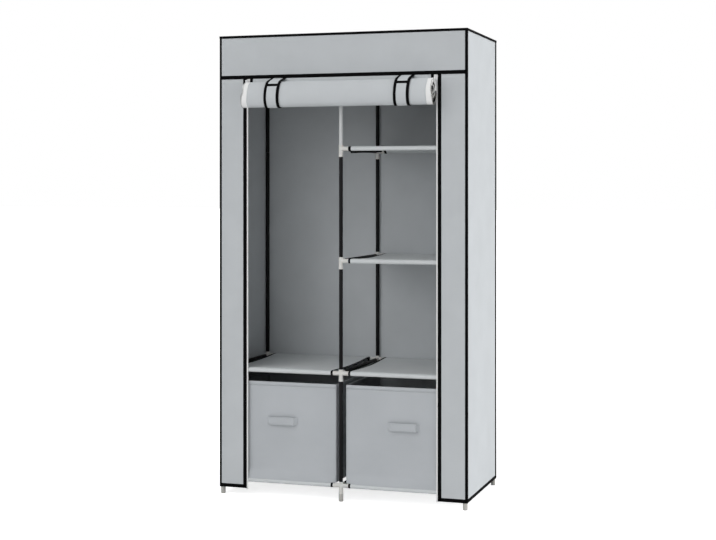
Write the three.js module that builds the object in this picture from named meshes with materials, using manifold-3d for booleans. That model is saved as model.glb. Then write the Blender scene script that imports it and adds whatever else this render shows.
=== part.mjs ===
// A portable fabric wardrobe: steel tubes in plastic connectors, fabric shelves, a zipped cover whose front
// door is rolled up and strapped, and two storage boxes. Millimetres, +Z up, the front towards -Y.
import * as THREE from "three";
import { mergeVertices } from "three/addons/utils/BufferGeometryUtils.js";
import Module from "manifold-3d";

const wasm = await Module();
wasm.setup();

// Clearance between pieces that touch
const GAP = 0.3;

// Cover, over its binding
const COVER_WIDTH = 886;
const COVER_DEPTH = 440;
const COVER_TOP = 1587.65;
const COVER_HEM = 24.5;
const FABRIC = 1.2;
const BINDING_PROUD = 0.4;
const BINDING_ON_FRONT = 8.5;
const BINDING_ON_SIDE = 9.5;
const BINDING_AT_TOP = 8;
const HEM_BINDING = 12.5;
const HEADER_HEIGHT = 147.65;
const STRIP_WIDTH = 101.5;

// Frame
const TUBE_RADIUS = 6.5;
const TUBE_WALL = 0.8;
const TUBE_SIDES = 12;
const CONNECTOR_WALL = 1.45;
const SLEEVE_UP = 13;
const SLEEVE_DOWN = 28;
const ARM_REACH = 27.7;
const TUBE_END_GAP = 2.5;
const POST_BREAK = 1;
const FOOT_RADIUS = 9;
const FOOT_FLOOR = 4;
const BOTTOM_LEVEL = 53.5;
const RAIL_DROP = 40;
const CLIP_WIDTH = 12;
const CLIP_DEPTH = 16;
const CLIP_BELOW_RAIL = 10;

// Front strips, zips and door
const ZIP_TAPE = 5.5;
const ZIP_TAIL = 2;
const STRIP_BAND = 12.5;
const SLIDER_WIDTH = 11;
const SLIDER_HEIGHT = 20;
const SLIDER_THICKNESS = 4;
const SLIDER_TOP_DROP = 4;
const PULL_WIDTH = 4;
const PULL_LENGTH = 14;
const PULL_THICKNESS = 1.5;
const ROLL_DROP = 57.5;
const ROLL_CENTRE_IN_FRONT = 39.5;
const ROLL_HALF_DEPTH = 32;
const ROLL_HALF_HEIGHT = 46;
const ROLL_OVERHANG = 2.5;
const ROLL_TURNS = 8.5;
const ROLL_PITCH = 3.4;
const ROLL_STEPS = 24;
const STRAP_WIDTH = 54;
const STRAP_FROM_DOOR_EDGE = 107;
const STRAP_SHIFT = 6;
const STRAP_STEPS = 24;

// Storage boxes
const STORAGE_FROM_MIDDLE_POST = 17;
const STORAGE_FROM_SIDE_POST = 16.85;
const STORAGE_FRONT_RECESS = 12;
const STORAGE_REAR_RECESS = 38;
const STORAGE_HEADROOM = 30.7;
const STORAGE_WALL = 3;
const HANDLE_WIDTH = 100;
const HANDLE_HEIGHT = 30;
const HANDLE_STAND_OFF = 13.5;
const HANDLE_SLOPE = 8;
const HANDLE_STRAP = 2.5;
const HANDLE_LEVEL = 200;

// Places worked out from the sizes
const TUBE_BORE = TUBE_RADIUS + GAP;
const TUBE_INNER = TUBE_RADIUS - TUBE_WALL;
const CONNECTOR_RADIUS = TUBE_BORE + CONNECTOR_WALL;
const FOOT_HEIGHT = COVER_HEM - GAP;
const BINDING = FABRIC + BINDING_PROUD;
const HALF_WIDTH = COVER_WIDTH / 2;
const HALF_DEPTH = COVER_DEPTH / 2;
const POST_X = HALF_WIDTH - BINDING - GAP - CONNECTOR_RADIUS;
const POST_Y = HALF_DEPTH - BINDING - GAP - CONNECTOR_RADIUS;
const TOP_LEVEL = COVER_TOP - BINDING - GAP - CONNECTOR_RADIUS;
const LEVELS = ["bottom", "lower", "mid", "upper", "top"].map((name, i) => ({
  name,
  z: BOTTOM_LEVEL + (i / 4) * (TOP_LEVEL - BOTTOM_LEVEL),
}));
const [BOTTOM, LOWER, MID, UPPER, TOP] = LEVELS;
const RAIL_START = TUBE_RADIUS + TUBE_END_GAP;
const SHELF_END = ARM_REACH + GAP;
const HEADER_BOTTOM = COVER_TOP - HEADER_HEIGHT;
const OPENING_HALF_WIDTH = HALF_WIDTH - STRIP_WIDTH - ZIP_TAPE;
const DOOR_TOP = HEADER_BOTTOM - GAP;
const SHEET_Y = -HALF_DEPTH + BINDING_PROUD + FABRIC / 2;
const ROLL_Y = -HALF_DEPTH - ROLL_CENTRE_IN_FRONT;
const ROLL_CENTRE_HEIGHT = HEADER_BOTTOM - ROLL_DROP;
const ROLL_HALF_LENGTH = OPENING_HALF_WIDTH + ROLL_OVERHANG;
const STRAP_CENTRE = OPENING_HALF_WIDTH - STRAP_FROM_DOOR_EDGE;
const FRONT_MOST = ROLL_Y - ROLL_HALF_DEPTH - GAP - FABRIC;
const ROWS = [
  { name: "front", sign: -1 },
  { name: "rear", sign: 1 },
];
const BAYS = [
  { name: "left", sign: -1 },
  { name: "right", sign: 1 },
];

const material = (color, roughness, metalness = 0) =>
  new THREE.MeshStandardMaterial({ color, roughness, metalness });
const MATERIALS = {
  blackTube: material("#141416", 0.45, 0.2),
  lightTube: material("#c9cacb", 0.45, 0.2),
  plastic: material("#c6c7c8", 0.55),
  coverFabric: material("#b4b7ba", 0.95),
  shelfFabric: material("#c4c6c8", 0.95),
  boxFabric: material("#a9acb0", 0.95),
  binding: material("#101012", 0.9),
  zipTape: material("#d8d9da", 0.9),
  zipMetal: material("#c9cacc", 0.45, 0.3),
};

// Solids

function solidOf(geometry) {
  geometry.deleteAttribute("normal");
  geometry.deleteAttribute("uv");
  const merged = mergeVertices(geometry, 1e-4);
  return new wasm.Manifold(
    new wasm.Mesh({
      numProp: 3,
      vertProperties: new Float32Array(merged.attributes.position.array),
      triVerts: new Uint32Array(merged.index.array),
    }),
  );
}

function join(solids) {
  return solids.reduce((all, solid) => all.add(solid));
}

function cut(solid, tools) {
  return tools.reduce((rest, tool) => rest.subtract(tool), solid);
}

// A block between two values along each axis, given in either order.
function block(xs, ys, zs) {
  const size = [xs, ys, zs].map(([a, b]) => Math.abs(b - a));
  const geometry = new THREE.BoxGeometry(...size);
  geometry.translate(...[xs, ys, zs].map(([a, b]) => (a + b) / 2));
  return solidOf(geometry);
}

// A round rod between two points on a line along X, Y or Z.
function rod(start, end, radius) {
  const along = start.findIndex((value, i) => value !== end[i]);
  const length = Math.abs(end[along] - start[along]);
  const geometry = new THREE.CylinderGeometry(radius, radius, length, TUBE_SIDES);
  if (along === 0) geometry.rotateZ(Math.PI / 2);
  if (along === 2) geometry.rotateX(Math.PI / 2);
  geometry.translate(...start.map((value, i) => (value + end[i]) / 2));
  return solidOf(geometry);
}

function tube(start, end) {
  return rod(start, end, TUBE_RADIUS).subtract(rod(start, end, TUBE_INNER));
}

function extruded(points, length) {
  const shape = new THREE.Shape(points.map(([x, y]) => new THREE.Vector2(x, y)));
  return new THREE.ExtrudeGeometry(shape, { depth: length, bevelEnabled: false });
}

// An outline in the YZ plane, extruded along X.
function extrudedAcross(points, [x0, x1]) {
  const geometry = extruded(points, x1 - x0);
  const turn = new THREE.Matrix4().makeBasis(
    new THREE.Vector3(0, 1, 0),
    new THREE.Vector3(0, 0, 1),
    new THREE.Vector3(1, 0, 0),
  );
  geometry.applyMatrix4(turn).translate(x0, 0, 0);
  return solidOf(geometry);
}

// An outline in the XY plane, extruded up Z.
function extrudedUp(points, [z0, z1]) {
  return solidOf(extruded(points, z1 - z0).translate(0, 0, z0));
}

// The two edges of a band of cloth that follows a path of points.
function bandEdges(path, thickness) {
  return [1, -1].map((side) =>
    path.map(([x, y], i) => {
      const [ax, ay] = path[Math.max(i - 1, 0)];
      const [bx, by] = path[Math.min(i + 1, path.length - 1)];
      const offset = (side * thickness) / 2 / Math.hypot(bx - ax, by - ay);
      return [x - (by - ay) * offset, y + (bx - ax) * offset];
    }),
  );
}

function bandOutline(path, thickness) {
  const [left, right] = bandEdges(path, thickness);
  return [...left, ...right.reverse()];
}

const wardrobe = new THREE.Group();

function add(name, solid, look) {
  const { vertProperties, triVerts } = solid.getMesh();
  const geometry = new THREE.BufferGeometry();
  geometry.setAttribute("position", new THREE.BufferAttribute(vertProperties, 3));
  geometry.setIndex(new THREE.BufferAttribute(triVerts, 1));
  geometry.computeVertexNormals();
  const mesh = new THREE.Mesh(geometry, look);
  mesh.name = name;
  wardrobe.add(mesh);
}

// Frame

// The body of one connector: a sleeve on the post, an arm for each rail or depth tube, and a foot or a cap.
function connectorBody(x, y, level, arms) {
  const bottom = level === BOTTOM ? 0 : level.z - SLEEVE_DOWN;
  const top = level.z + (level === TOP ? CONNECTOR_RADIUS : SLEEVE_UP);
  const solids = [rod([x, y, bottom], [x, y, top], CONNECTOR_RADIUS)];
  for (const [dx, dy] of arms) {
    const end = [x + dx * ARM_REACH, y + dy * ARM_REACH, level.z];
    solids.push(rod([x, y, level.z], end, CONNECTOR_RADIUS));
  }
  if (level === BOTTOM)
    solids.push(rod([x, y, 0], [x, y, FOOT_HEIGHT], FOOT_RADIUS));
  return join(solids);
}

function armBore(x, y, z, [dx, dy], from, to, radius) {
  return rod([x + dx * from, y + dy * from, z], [x + dx * to, y + dy * to, z], radius);
}

// The bore of a post, from the foot's floor or the sleeve's mouth up to the cap or through the top.
function postBore(x, y, level, radius) {
  const bottom = level === BOTTOM ? FOOT_FLOOR : level.z - SLEEVE_DOWN - 1;
  const top = level === TOP ? TOP.z + TUBE_BORE : level.z + SLEEVE_UP + 1;
  return rod([x, y, bottom], [x, y, top], radius);
}

// A side frame is one piece: two posts, depth tubes and their connectors, open at the sockets.
function sideFrame(side, levels) {
  const x = side * POST_X;
  const inward = [-side, 0];
  const solids = [];
  const bores = [];
  for (const { sign } of ROWS) {
    const y = sign * POST_Y;
    solids.push(rod([x, y, 0], [x, y, TOP.z], TUBE_RADIUS));
    bores.push(rod([x, y, FOOT_FLOOR], [x, y, TOP.z + TUBE_INNER], TUBE_INNER));
    for (const level of levels) {
      solids.push(connectorBody(x, y, level, [inward, [0, -sign]]));
      bores.push(armBore(x, y, level.z, inward, 0, ARM_REACH, TUBE_INNER));
      bores.push(armBore(x, y, level.z, inward, RAIL_START - GAP, ARM_REACH + 1, TUBE_BORE));
    }
  }
  for (const { z } of levels) {
    solids.push(rod([x, -POST_Y, z], [x, POST_Y, z], TUBE_RADIUS));
    bores.push(rod([x, -POST_Y, z], [x, POST_Y, z], TUBE_INNER));
  }
  return cut(join(solids), bores);
}

function addSideFrames() {
  add("left_side_frame", sideFrame(-1, [BOTTOM, LOWER, TOP]), MATERIALS.blackTube);
  add("right_side_frame", sideFrame(1, LEVELS), MATERIALS.blackTube);
}

// Levels at which a bay has front and rear rails of its own.
const SPLIT_RAILS = [
  { bay: BAYS[0], level: LOWER },
  { bay: BAYS[1], level: LOWER },
  { bay: BAYS[1], level: MID },
  { bay: BAYS[1], level: UPPER },
];

function addMiddleFrame() {
  const postBottom = BOTTOM.z + TUBE_RADIUS + GAP;
  const postTop = TOP.z - TUBE_RADIUS - GAP;
  const [breakLow, breakHigh] = [UPPER.z - POST_BREAK, UPPER.z + POST_BREAK];
  const post = (y, low, high) => tube([0, y, low], [0, y, high]);
  add("front_middle_post", post(-POST_Y, postBottom, breakLow), MATERIALS.blackTube);
  add("front_middle_post_upper", post(-POST_Y, breakHigh, postTop), MATERIALS.lightTube);
  add("rear_middle_post", post(POST_Y, postBottom, postTop), MATERIALS.blackTube);
  for (const level of LEVELS) {
    const reach = POST_Y - RAIL_START;
    const depthTube = tube([0, -reach, level.z], [0, reach, level.z]);
    add(`middle_depth_tube_${level.name}`, depthTube, MATERIALS.blackTube);
    const bays = [BOTTOM, TOP].includes(level)
      ? BAYS
      : SPLIT_RAILS.filter((rail) => rail.level === level).map((rail) => rail.bay);
    for (const row of ROWS) {
      const y = row.sign * POST_Y;
      const arms = [...bays.map((bay) => [bay.sign, 0]), [0, -row.sign]];
      const bores = arms.map((arm) => armBore(0, y, level.z, arm, 0, ARM_REACH + 1, TUBE_BORE));
      const body = cut(connectorBody(0, y, level, arms), [postBore(0, y, level, TUBE_BORE), ...bores]);
      add(`${row.name}_middle_connector_${level.name}`, body, MATERIALS.plastic);
    }
  }
}

function addRails() {
  const end = POST_X - RAIL_START;
  for (const row of ROWS) {
    const y = row.sign * POST_Y;
    for (const level of [BOTTOM, TOP]) {
      const rail = tube([-end, y, level.z], [end, y, level.z]);
      add(`${level.name}_rail_${row.name}`, rail, MATERIALS.blackTube);
    }
    for (const { bay, level } of SPLIT_RAILS) {
      const rail = tube([bay.sign * RAIL_START, y, level.z], [bay.sign * end, y, level.z]);
      add(`${level.name}_rail_${bay.name}_${row.name}`, rail, MATERIALS.blackTube);
    }
  }
}

// The hanging rail, with a clip at each end that goes round a top depth tube.
function addHangingRail() {
  const z = TOP.z - RAIL_DROP;
  const solids = [rod([-POST_X, 0, z], [0, 0, z], TUBE_RADIUS)];
  const past = CLIP_WIDTH / 2 + 1;
  const bores = [rod([-POST_X - past, 0, z], [past, 0, z], TUBE_INNER)];
  for (const x of [-POST_X, 0]) {
    solids.push(
      block(
        [x - CLIP_WIDTH / 2, x + CLIP_WIDTH / 2],
        [-CLIP_DEPTH / 2, CLIP_DEPTH / 2],
        [z - CLIP_BELOW_RAIL, TOP.z],
      ),
      rod([x, -CLIP_DEPTH / 2, TOP.z], [x, CLIP_DEPTH / 2, TOP.z], CONNECTOR_RADIUS),
    );
    bores.push(rod([x, -CLIP_DEPTH, TOP.z], [x, CLIP_DEPTH, TOP.z], TUBE_BORE));
  }
  add("hanging_rail", cut(join(solids), bores), MATERIALS.blackTube);
}

// Shelves

// A sheet with a sleeve round the front and the rear rail.
function shelf(bay, level) {
  const xs = [bay.sign * SHELF_END, bay.sign * (POST_X - SHELF_END)];
  const top = level.z + CONNECTOR_RADIUS;
  const solids = [block(xs, [-POST_Y, POST_Y], [top - FABRIC, top])];
  const bores = [];
  for (const { sign } of ROWS) {
    const y = sign * POST_Y;
    solids.push(rod([xs[0], y, level.z], [xs[1], y, level.z], CONNECTOR_RADIUS));
    bores.push(rod([0, y, level.z], [bay.sign * POST_X, y, level.z], TUBE_BORE));
  }
  return cut(join(solids), bores);
}

function addShelves() {
  for (const bay of BAYS) add(`shelf_bottom_${bay.name}`, shelf(bay, BOTTOM), MATERIALS.shelfFabric);
  for (const { bay, level } of SPLIT_RAILS)
    add(`shelf_${level.name}_${bay.name}`, shelf(bay, level), MATERIALS.shelfFabric);
}

// Cover

const SHEET = [BINDING_PROUD, BINDING_PROUD + FABRIC]; // how deep a sheet lies under the binding's face

function addCoverSheets() {
  const left = HALF_WIDTH - BINDING_ON_FRONT - GAP;
  const side = [-HALF_DEPTH + BINDING_ON_SIDE + GAP, HALF_DEPTH - BINDING_ON_SIDE - GAP];
  const wall = [COVER_HEM + HEM_BINDING + GAP, COVER_TOP - BINDING_AT_TOP - GAP];
  const roofX = HALF_WIDTH - BINDING_AT_TOP - GAP;
  const roofY = HALF_DEPTH - BINDING_AT_TOP - GAP;
  const roof = block([-roofX, roofX], [-roofY, roofY], SHEET.map((d) => COVER_TOP - d));
  add("cover_roof", roof, MATERIALS.coverFabric);
  add("cover_back", block([-left, left], SHEET.map((d) => HALF_DEPTH - d), wall), MATERIALS.coverFabric);
  for (const bay of BAYS) {
    const sheet = block(SHEET.map((d) => bay.sign * (HALF_WIDTH - d)), side, wall);
    add(`cover_${bay.name}_side`, sheet, MATERIALS.coverFabric);
  }
  const front = SHEET.map((d) => d - HALF_DEPTH);
  const header = block([-left, left], front, [HEADER_BOTTOM + HEM_BINDING + GAP, wall[1]]);
  add("cover_header", header, MATERIALS.coverFabric);
}

// The tape sewn round every edge of the cover: a thin shell with a window in each face.
function addBinding() {
  const x = HALF_WIDTH;
  const y = HALF_DEPTH;
  const top = COVER_TOP;
  const outside = 1;
  const across = [BINDING_ON_FRONT - x, x - BINDING_ON_FRONT];
  const along = [BINDING_ON_SIDE - y, y - BINDING_ON_SIDE];
  const wall = [COVER_HEM + HEM_BINDING, top - BINDING_AT_TOP];
  const through = BINDING + outside;
  const shell = block([-x, x], [-y, y], [COVER_HEM, top]);
  const windows = [
    block([BINDING - x, x - BINDING], [BINDING - y, y - BINDING], [COVER_HEM - outside, top - BINDING]),
    block(across, [-y - outside, through - y], [COVER_HEM - outside, HEADER_BOTTOM]),
    block(across, [-y - outside, through - y], [HEADER_BOTTOM + HEM_BINDING, wall[1]]),
    block(across, [y - through, y + outside], wall),
    block([-x - outside, through - x], along, wall),
    block([x - through, x + outside], along, wall),
    block(
      [BINDING_AT_TOP - x, x - BINDING_AT_TOP],
      [BINDING_AT_TOP - y, y - BINDING_AT_TOP],
      [top - through, top + outside],
    ),
  ];
  add("cover_binding", cut(shell, windows), MATERIALS.binding);
}

function addFrontStrips() {
  const inner = OPENING_HALF_WIDTH + ZIP_TAPE;
  const outer = HALF_WIDTH - BINDING_ON_FRONT - GAP;
  const proud = [-HALF_DEPTH, -HALF_DEPTH + BINDING];
  const tapeZ = [COVER_HEM - ZIP_TAIL, DOOR_TOP];
  for (const { name, sign } of BAYS) {
    const strip = join([
      block([sign * inner, sign * outer], SHEET.map((d) => d - HALF_DEPTH), [COVER_HEM, DOOR_TOP]),
      block([sign * inner, sign * (inner + STRIP_BAND)], proud, [COVER_HEM, DOOR_TOP]),
      block([sign * inner, sign * outer], proud, [COVER_HEM, COVER_HEM + HEM_BINDING]),
    ]);
    add(`cover_strip_${name}`, strip, MATERIALS.coverFabric);
    const tapeX = [sign * (OPENING_HALF_WIDTH + GAP), sign * (inner - GAP)];
    const tape = block(tapeX, SHEET.map((d) => d - HALF_DEPTH), tapeZ);
    add(`zipper_tape_${name}`, tape, MATERIALS.zipTape);
  }
}

// Door

// The angle at which a line from a point, given from the roll's centre, touches an oval.
function tangentAngle([y, z], halfDepth, halfHeight, side) {
  const across = y / halfDepth;
  const up = z / halfHeight;
  return Math.atan2(up, across) + side * Math.acos(1 / Math.hypot(across, up));
}

// A point of an oval about the roll's centre. Angles run from the front over the top to the back.
function onRoll(angle, halfDepth, halfHeight) {
  return [
    ROLL_Y - halfDepth * Math.cos(angle),
    ROLL_CENTRE_HEIGHT + halfHeight * Math.sin(angle),
  ];
}

const ROLL_OUTER = [ROLL_HALF_DEPTH - FABRIC / 2, ROLL_HALF_HEIGHT - FABRIC / 2];
const STRAP_OVAL = [ROLL_HALF_DEPTH + GAP + FABRIC / 2, ROLL_HALF_HEIGHT + GAP + FABRIC / 2];
const LAYER = FABRIC + GAP;
const fromRollCentre = ([y, z]) => [ROLL_Y - y, z - ROLL_CENTRE_HEIGHT];
const DOOR_HUNG_AT = [SHEET_Y, DOOR_TOP];
const ROLL_START = tangentAngle(fromRollCentre(DOOR_HUNG_AT), ...ROLL_OUTER, 1);

// The rolled sheet, from its outer end behind the roll, down, forwards and up, spiralling in.
function rollPath() {
  const steps = Math.round(ROLL_TURNS * ROLL_STEPS);
  return Array.from({ length: steps + 1 }, (_, i) => {
    const turned = i / ROLL_STEPS;
    const shrink = turned * ROLL_PITCH;
    const angle = ROLL_START + turned * 2 * Math.PI;
    return onRoll(angle, ...ROLL_OUTER.map((half) => half - shrink));
  });
}

// The least distance between one turn's inner edge and the next turn's outer edge.
function leastGap(edges) {
  const [one, other] = edges;
  let least = Infinity;
  one.forEach(([ay, az], i) =>
    other.forEach(([by, bz], j) => {
      if (Math.abs(i - j) > ROLL_STEPS / 2) least = Math.min(least, Math.hypot(ay - by, az - bz));
    }),
  );
  return least;
}

function pathLength(path) {
  return path.slice(1).reduce((sum, [y, z], i) => sum + Math.hypot(y - path[i][0], z - path[i][1]), 0);
}

function addDoor() {
  const path = rollPath();
  const ends = [-ROLL_HALF_LENGTH, ROLL_HALF_LENGTH];
  const roll = extrudedAcross(bandOutline(path, FABRIC), ends);
  add("door_roll", roll, MATERIALS.coverFabric);

  const [y0, z0] = DOOR_HUNG_AT;
  const [y1, z1] = path[0];
  const share = 1 - GAP / Math.hypot(y1 - y0, z1 - z0);
  const hung = [DOOR_HUNG_AT, [y0 + (y1 - y0) * share, z0 + (z1 - z0) * share]];
  const curtain = extrudedAcross(bandOutline(hung, FABRIC), [-OPENING_HALF_WIDTH, OPENING_HALF_WIDTH]);
  add("door_curtain", curtain, MATERIALS.coverFabric);
  const gap = leastGap(bandEdges(path, FABRIC));
  const length = pathLength(path) + pathLength(hung);
  console.log(`door sheet ${length.toFixed(0)} mm long, least gap in the roll ${gap.toFixed(2)} mm`);

  for (const { name, sign } of BAYS) {
    const middle = sign * STRAP_CENTRE + STRAP_SHIFT;
    const xs = [middle - STRAP_WIDTH / 2, middle + STRAP_WIDTH / 2];
    add(`door_strap_${name}`, extrudedAcross(bandOutline(strapPath(), FABRIC), xs), MATERIALS.coverFabric);
  }
}

// A strap, from under the header's front, over the roll's front, under it and up behind the hung door.
function strapPath() {
  const first = [SHEET_Y - LAYER, DOOR_TOP];
  const last = [SHEET_Y + LAYER, DOOR_TOP];
  const over = tangentAngle(fromRollCentre(first), ...STRAP_OVAL, -1);
  const behind = tangentAngle(fromRollCentre(last), ...STRAP_OVAL, 1) - 2 * Math.PI;
  const turns = Array.from({ length: STRAP_STEPS + 1 }, (_, i) =>
    onRoll(over + ((behind - over) * i) / STRAP_STEPS, ...STRAP_OVAL),
  );
  return [first, ...turns, last];
}

// A slider stands in front of both tapes at the top of its zip, with its pull hanging.
function addSliders() {
  const height = [DOOR_TOP - SLIDER_TOP_DROP - SLIDER_HEIGHT, DOOR_TOP - SLIDER_TOP_DROP];
  const [hungY, hungZ] = DOOR_HUNG_AT;
  const [touchY, touchZ] = rollPath()[0];
  const lean = (hungY - touchY) / (hungZ - touchZ);
  const back = SHEET_Y - FABRIC / 2 - GAP - lean * (DOOR_TOP - height[0]);
  const front = back - SLIDER_THICKNESS;
  for (const { name, sign } of BAYS) {
    const middle = sign * (OPENING_HALF_WIDTH + SLIDER_WIDTH / 4);
    const slider = join([
      block([middle - SLIDER_WIDTH / 2, middle + SLIDER_WIDTH / 2], [front, back], height),
      block(
        [middle - PULL_WIDTH / 2, middle + PULL_WIDTH / 2],
        [front, front + PULL_THICKNESS],
        [height[0] - PULL_LENGTH, height[0] + 1],
      ),
    ]);
    add(`zip_slider_${name}`, slider, MATERIALS.zipMetal);
  }
}

// Storage boxes

function addStorage() {
  const floor = BOTTOM.z + CONNECTOR_RADIUS + GAP;
  const rim = LOWER.z - CONNECTOR_RADIUS - STORAGE_HEADROOM;
  const front = -HALF_DEPTH + STORAGE_FRONT_RECESS;
  const back = HALF_DEPTH - STORAGE_REAR_RECESS;
  const level = floor + HANDLE_LEVEL;
  for (const { name, sign } of BAYS) {
    const inner = sign * STORAGE_FROM_MIDDLE_POST;
    const outer = sign * (POST_X - STORAGE_FROM_SIDE_POST);
    const wall = STORAGE_WALL;
    const hollow = block(
      [inner + sign * wall, outer - sign * wall],
      [front + wall, back - wall],
      [floor + wall, rim + 1],
    );
    add(
      `storage_box_${name}`,
      block([inner, outer], [front, back], [floor, rim]).subtract(hollow),
      MATERIALS.boxFabric,
    );
    const middle = (inner + outer) / 2;
    const heights = [level - HANDLE_HEIGHT / 2, level + HANDLE_HEIGHT / 2];
    add(`box_handle_${name}`, extrudedUp(handleOutline(middle, front - GAP), heights), MATERIALS.boxFabric);
  }
}

// A loop handle in plan: two flat ends on the box and a strap that stands off between them.
function handleOutline(middle, y) {
  const half = HANDLE_WIDTH / 2;
  const out = y - HANDLE_STAND_OFF;
  const near = half - HANDLE_STRAP;
  return [
    [middle - half, y],
    [middle - half + HANDLE_SLOPE, out],
    [middle + half - HANDLE_SLOPE, out],
    [middle + half, y],
    [middle + near, y],
    [middle + near - HANDLE_SLOPE, out + HANDLE_STRAP],
    [middle - near + HANDLE_SLOPE, out + HANDLE_STRAP],
    [middle - near, y],
  ];
}

addSideFrames();
addMiddleFrame();
addRails();
addHangingRail();
addShelves();
addCoverSheets();
addBinding();
addFrontStrips();
addDoor();
addSliders();
addStorage();

// The origin stands on the floor under the middle of the whole, the roll included.
wardrobe.position.y = -(FRONT_MOST + HALF_DEPTH) / 2;
const whole = new THREE.Group();
whole.add(wardrobe);

export default whole;
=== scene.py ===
"""Portable fabric wardrobe: a tube frame in plastic connectors, fabric shelves, a bound fabric cover
with its door rolled up, and two storage boxes. Everything is in metres, with the front towards -Y."""
from bisect import bisect_right
from math import acos, atan2, cos, degrees, exp, hypot, pi, radians, sin

import bmesh
import bpy
from mathutils import Matrix, Vector, noise


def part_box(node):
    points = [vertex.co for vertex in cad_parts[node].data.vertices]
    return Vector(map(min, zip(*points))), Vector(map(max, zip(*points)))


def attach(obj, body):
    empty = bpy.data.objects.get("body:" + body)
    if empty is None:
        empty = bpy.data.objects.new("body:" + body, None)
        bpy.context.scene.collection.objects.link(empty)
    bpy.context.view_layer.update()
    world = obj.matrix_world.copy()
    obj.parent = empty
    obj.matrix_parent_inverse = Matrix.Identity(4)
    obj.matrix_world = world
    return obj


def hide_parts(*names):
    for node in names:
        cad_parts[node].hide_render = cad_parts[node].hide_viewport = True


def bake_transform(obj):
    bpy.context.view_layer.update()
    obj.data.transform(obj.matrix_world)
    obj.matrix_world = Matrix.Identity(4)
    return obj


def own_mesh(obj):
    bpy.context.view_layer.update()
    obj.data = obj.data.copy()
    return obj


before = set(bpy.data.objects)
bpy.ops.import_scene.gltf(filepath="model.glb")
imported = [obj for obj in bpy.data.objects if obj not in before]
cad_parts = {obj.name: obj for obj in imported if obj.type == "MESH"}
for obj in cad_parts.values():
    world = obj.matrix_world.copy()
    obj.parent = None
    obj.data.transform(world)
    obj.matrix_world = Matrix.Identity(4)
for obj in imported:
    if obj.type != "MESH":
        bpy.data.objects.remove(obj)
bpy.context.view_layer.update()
scene = bpy.context.scene

# Camera, at the photograph's height and angle
camera = bpy.data.objects.new("camera", bpy.data.cameras.new("camera"))
scene.collection.objects.link(camera)
camera.location = (1.5544, -4.7705, 1.0665)
camera.rotation_euler = (radians(90), 0, radians(18))
camera.data.sensor_width = 36
camera.data.lens = 71.9
camera.data.shift_y = -83 / 716
scene.camera = camera

# Places, from the solids
cover_low, cover_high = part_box("cover_binding")
SIDE, FRONT, REAR = cover_high.x, cover_low.y, cover_high.y
HEM, TOP = cover_low.z, cover_high.z
DEPTH = REAR - FRONT
POST_INSIDE_COVER = 0.01015
POST = SIDE - POST_INSIDE_COVER
POST_FRONT = FRONT + POST_INSIDE_COVER
POST_REAR = REAR - POST_INSIDE_COVER
MIDDLE = (FRONT + REAR) / 2
LEVEL_NAMES = ("bottom", "lower", "mid", "upper", "top")


def centre(node):
    low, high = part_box(node)
    return (low + high) / 2


LEVEL = {name: centre(f"middle_depth_tube_{name}").z for name in LEVEL_NAMES}
SIDES = {"left": -1, "right": 1}
ROWS = {"front": (POST_FRONT, 1), "rear": (POST_REAR, -1)}

# Sizes
TUBE = 0.0065
ARM_REACH = 0.0277
TUBE_FROM_POST = ARM_REACH - 0.012
SLEEVE_UP = 0.013
SLEEVE_DOWN = 0.028
CLOTH = 0.0012
TAPE = 0.0008
SHEET_IN = 0.0010
TAPE_IN = TAPE / 2
TAPE_WANDER = 0.00025
HEM_TAPE = 0.0125
STITCH_IN = 0.0012
HEM_STITCH_IN = 0.0014
CORNER_FRONT = 0.0085
CORNER_SIDE = 0.0095
REAR_CORNER_SIDE = 0.023
TOP_TAPE = 0.0056
PIPING_RISE = 0.0014
ZIP_TAPE = 0.0055
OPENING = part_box("door_curtain")[1].x
DOOR_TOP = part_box("door_curtain")[1].z
HEADER_ABOVE_DOOR = 0.0003
HEADER_BOTTOM = DOOR_TOP + HEADER_ABOVE_DOOR


# Materials


def srgb(code):
    """An sRGB hex value as linear red, green, blue and alpha."""
    parts = [int(code[i : i + 2], 16) / 255 for i in (1, 3, 5)]
    return (*[c / 12.92 if c <= 0.04045 else ((c + 0.055) / 1.055) ** 2.4 for c in parts], 1.0)


def add_node(material, kind, inputs, **settings):
    """Adds a node. An input that is a socket, or a node for its first output, is linked, any other set."""
    node = material.node_tree.nodes.new("ShaderNode" + kind)
    for name, value in settings.items():
        setattr(node, name, value)
    for name, value in inputs.items():
        if isinstance(value, bpy.types.Node):
            value = value.outputs[0]
        if isinstance(value, bpy.types.NodeSocket):
            material.node_tree.links.new(value, node.inputs[name])
        else:
            node.inputs[name].default_value = value
    return node


def blank(name, **constants):
    """A material with its shader's own constants set."""
    material = bpy.data.materials.new(name)
    material.use_nodes = True
    shader = material.node_tree.nodes["Principled BSDF"]
    for socket, value in constants.items():
        shader.inputs[socket.replace("_", " ")].default_value = value
    return material, shader


def connect(material, shader, **sockets):
    for socket, node in sockets.items():
        output = node.outputs[2] if node.bl_idname == "ShaderNodeMix" else node.outputs[0]
        material.node_tree.links.new(output, shader.inputs[socket.replace("_", " ")])


def finished(material, shader, share, tones, height, strength, depth, **more):
    """Gives a material a colour between two tones, by a share, and a relief from a height."""
    dark, light = tones
    colour = add_node(material, "Mix", {0: share, 6: srgb(dark), 7: srgb(light)}, data_type="RGBA")
    bump = add_node(material, "Bump", {"Height": height, "Strength": strength, "Distance": depth})
    connect(material, shader, Base_Color=colour, Normal=bump, **more)
    return material


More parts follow.
